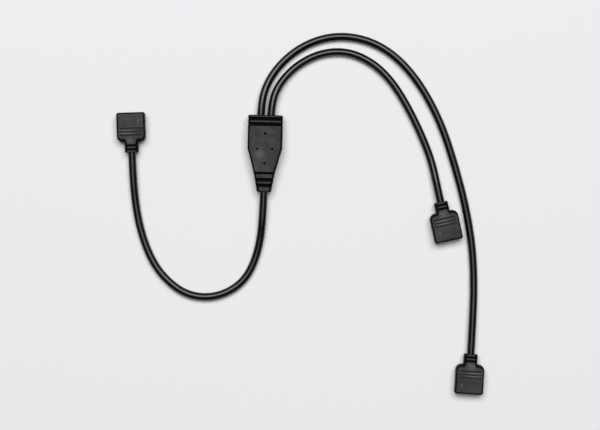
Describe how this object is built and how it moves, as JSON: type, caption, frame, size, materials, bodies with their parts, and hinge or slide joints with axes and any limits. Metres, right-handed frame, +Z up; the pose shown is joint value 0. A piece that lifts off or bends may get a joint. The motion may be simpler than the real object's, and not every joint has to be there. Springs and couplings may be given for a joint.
{
  "type": "four-pin splitter cable",
  "caption": "Flexible Y cable: a moulded splitter joins an input lead to a short and a long output lead, each ending in a flat rectangular pin socket with a slotted strain relief.",
  "frame": {"origin": "on the ground under the middle of the splitter", "axes": "+Z up, +Y along the splitter from its strain relief to the output leads, +X to the right"},
  "size_m": [0.1815, 0.1745, 0.008],
  "materials": {
    "moulding": "satin flexible PVC, slightly uneven sheen",
    "jacket": "smooth satin flexible PVC",
    "header": "hard black insulator",
    "contact": "gold-flashed phosphor bronze strip",
    "splice": "tinned copper crimp",
    "core_supply": "white wire insulation",
    "core_green": "green wire insulation",
    "core_red": "red wire insulation",
    "core_blue": "blue wire insulation"
  },
  "bodies": {
    "root": {"splitter_housing": "moulding", "splice_supply": "splice", "splitter_input_core_supply": "core_supply", "splitter_short_core_supply": "core_supply", "splitter_long_core_supply": "core_supply", "splice_green": "splice", "splitter_input_core_green": "core_green", "splitter_short_core_green": "core_green", "splitter_long_core_green": "core_green", "splice_red": "splice", "splitter_input_core_red": "core_red", "splitter_short_core_red": "core_red", "splitter_long_core_red": "core_red", "splice_blue": "splice", "splitter_input_core_blue": "core_blue", "splitter_short_core_blue": "core_blue", "splitter_long_core_blue": "core_blue", "input_cable": "jacket", "input_housing": "moulding", "input_header": "header", "input_contact_supply": "contact", "input_core_supply": "core_supply", "input_contact_green": "contact", "input_core_green": "core_green", "input_contact_red": "contact", "input_core_red": "core_red", "input_contact_blue": "contact", "input_core_blue": "core_blue", "short_cable": "jacket", "short_housing": "moulding", "short_header": "header", "short_contact_supply": "contact", "short_core_supply": "core_supply", "short_contact_green": "contact", "short_core_green": "core_green", "short_contact_red": "contact", "short_core_red": "core_red", "short_contact_blue": "contact", "short_core_blue": "core_blue", "long_cable": "jacket", "long_housing": "moulding", "long_header": "header", "long_contact_supply": "contact", "long_core_supply": "core_supply", "long_contact_green": "contact", "long_core_green": "core_green", "long_contact_red": "contact", "long_core_red": "core_red", "long_contact_blue": "contact", "long_core_blue": "core_blue"}
  },
  "joints": []
}
